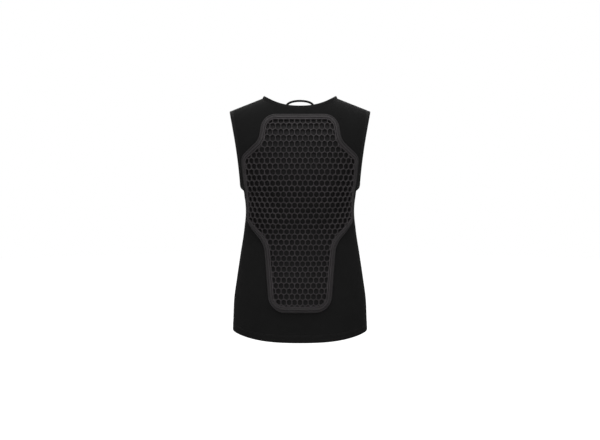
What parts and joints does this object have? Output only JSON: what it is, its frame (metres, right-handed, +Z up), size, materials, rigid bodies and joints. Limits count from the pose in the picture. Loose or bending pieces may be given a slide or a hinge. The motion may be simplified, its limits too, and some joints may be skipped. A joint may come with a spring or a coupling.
{
  "type": "protective vest",
  "caption": "Close-fitting sleeveless protective vest, held in its worn shape, with a rimmed honeycomb protector over the whole back and a thin hang loop at the neck.",
  "frame": {"origin": "centre of the neck opening, midway between the neck ends of the two shoulder seams", "axes": "+Z up along the standing wearer, +Y towards the wearer's front, +X towards the wearer's right, so the protector is on the -Y side"},
  "size_m": [0.3576, 0.2402, 0.6112],
  "materials": {
    "stretch_fabric": "matt black knitted stretch fabric",
    "binding": "black elastic binding with a fine rib",
    "zip": "black moulded plastic zip on woven tape",
    "cord": "thin black braided cord",
    "rim_foam": "dark grey moulded foam rubber, satin along its ridges",
    "honeycomb_foam": "dark grey moulded foam rubber, matt"
  },
  "bodies": {
    "root": {"back_panel": "stretch_fabric", "front_panel_right": "stretch_fabric", "front_panel_left": "stretch_fabric", "neck_band": "binding", "armhole_band_right": "binding", "armhole_band_left": "binding", "front_zip": "zip", "hang_loop": "cord", "protector_rim": "rim_foam", "protector_core": "honeycomb_foam"}
  },
  "joints": []
}
